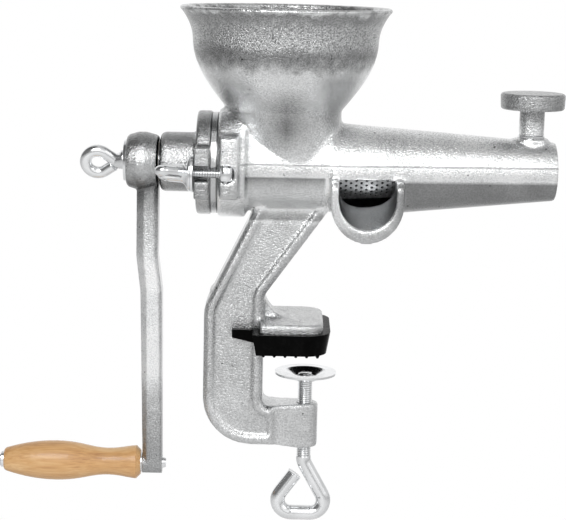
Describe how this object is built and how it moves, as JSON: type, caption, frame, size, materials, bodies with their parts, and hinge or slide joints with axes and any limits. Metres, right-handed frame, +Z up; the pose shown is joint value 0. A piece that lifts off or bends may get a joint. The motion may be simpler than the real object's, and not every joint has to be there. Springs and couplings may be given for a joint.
{
  "type": "fruit press",
  "caption": "Hand cranked fruit press: cast hopper and tapered barrel with auger and perforated strainer, juice spout, pulp regulator, swing-bolt cover and table clamp.",
  "frame": {"origin": "on the table top, at the tip of the pad rib right above the clamp screw", "axes": "+X along the shaft from the crank to the pulp outlet, -Y towards the juice spout, +Z up"},
  "size_m": [0.3687, 0.1368, 0.3445],
  "materials": {
    "tinned_iron": "sand cast iron, tinned bright",
    "machined_iron": "machined and tinned",
    "bronze": "turned bearing bronze",
    "steel": "turned bright steel",
    "stainless_sheet": "perforated stainless sheet",
    "zinc_steel": "bright zinc plate",
    "beech": "turned beech, clear lacquer",
    "black_plastic": "moulded, glossy black"
  },
  "bodies": {
    "press": {"body_casting": "tinned_iron", "hopper": "tinned_iron", "joint_ring": "machined_iron", "bearing_cover": "tinned_iron", "bearing_bush": "bronze", "thrust_washer": "bronze", "strainer": "stainless_sheet", "jaw_pad": "black_plastic", "front_pivot_pin": "steel", "rear_pivot_pin": "steel"},
    "crank": {"auger": "tinned_iron", "drive_shaft": "steel", "crank_arm": "tinned_iron", "grip_spindle": "zinc_steel", "grip_washer": "zinc_steel", "grip_cap": "zinc_steel"},
    "grip": {"wooden_grip": "beech"},
    "crank_washer": {"crank_washer": "zinc_steel"},
    "crank_bolt": {"crank_bolt": "zinc_steel"},
    "front_bolt": {"front_swing_bolt": "zinc_steel"},
    "front_washer": {"front_nut_washer": "zinc_steel"},
    "front_nut": {"front_wing_nut": "zinc_steel"},
    "rear_bolt": {"rear_swing_bolt": "zinc_steel"},
    "rear_washer": {"rear_nut_washer": "zinc_steel"},
    "rear_nut": {"rear_wing_nut": "zinc_steel"},
    "regulator_ring": {"regulator_ring": "zinc_steel"},
    "regulator": {"regulator_screw": "steel", "regulator_knob": "tinned_iron"},
    "clamp_disc": {"clamp_disc": "zinc_steel"},
    "clamp_screw": {"clamp_screw": "zinc_steel"}
  },
  "joints": [
    {"name": "crank_spin", "type": "hinge", "parent": "press", "child": "crank", "pos_m": [0, 0, 0.1228], "axis": [1, 0, 0], "continuous": true},
    {"name": "grip_spin", "type": "hinge", "parent": "crank", "child": "grip", "pos_m": [-0.15, 0, -0.0816], "axis": [1, 0, 0], "continuous": true},
    {"name": "crank_bolt_turn", "type": "hinge", "parent": "crank", "child": "crank_washer", "pos_m": [-0.12, 0, 0.1228], "axis": [-1, 0, 0], "range_deg": [0, 4320]},
    {"name": "crank_bolt_travel", "type": "slide", "parent": "crank_washer", "child": "crank_bolt", "axis": [-1, 0, 0], "range_m": [0, 0.0156]},
    {"name": "front_bolt_swing", "type": "hinge", "parent": "press", "child": "front_bolt", "pos_m": [-0.054, -0.042, 0.1207], "axis": [0, 0, 1], "range_deg": [0, 95]},
    {"name": "front_nut_travel", "type": "slide", "parent": "front_bolt", "child": "front_washer", "axis": [-1, 0, 0], "range_m": [0, 0.004]},
    {"name": "front_nut_turn", "type": "hinge", "parent": "front_washer", "child": "front_nut", "pos_m": [-0.08, -0.042, 0.1207], "axis": [-1, 0, 0], "range_deg": [0, 1440]},
    {"name": "rear_bolt_swing", "type": "hinge", "parent": "press", "child": "rear_bolt", "pos_m": [-0.054, 0.042, 0.1207], "axis": [0, 0, -1], "range_deg": [0, 95]},
    {"name": "rear_nut_travel", "type": "slide", "parent": "rear_bolt", "child": "rear_washer", "axis": [-1, 0, 0], "range_m": [0, 0.004]},
    {"name": "rear_nut_turn", "type": "hinge", "parent": "rear_washer", "child": "rear_nut", "pos_m": [-0.08, 0.042, 0.1207], "axis": [-1, 0, 0], "range_deg": [0, 1440]},
    {"name": "regulator_travel", "type": "slide", "parent": "press", "child": "regulator_ring", "axis": [0, 0, 1], "range_m": [0, 0.0105]},
    {"name": "regulator_turn", "type": "hinge", "parent": "regulator_ring", "child": "regulator", "pos_m": [0.143, 0, 0.16], "axis": [0, 0, 1], "range_deg": [0, 2160]},
    {"name": "clamp_travel", "type": "slide", "parent": "press", "child": "clamp_disc", "axis": [0, 0, 1], "range_m": [-0.0135, 0.0075]},
    {"name": "clamp_turn", "type": "hinge", "parent": "clamp_disc", "child": "clamp_screw", "pos_m": [0, 0, -0.05], "axis": [0, 0, 1], "range_deg": [-3240, 1800]}
  ],
  "couplings": [
    {"joint": "crank_bolt_travel", "follows": "crank_bolt_turn", "m_per_rad": 0.00019894},
    {"joint": "front_nut_travel", "follows": "front_nut_turn", "m_per_rad": 0.00015915},
    {"joint": "rear_nut_travel", "follows": "rear_nut_turn", "m_per_rad": 0.00015915},
    {"joint": "regulator_travel", "follows": "regulator_turn", "m_per_rad": 0.00027852},
    {"joint": "clamp_travel", "follows": "clamp_turn", "m_per_rad": 0.00023873}
  ]
}
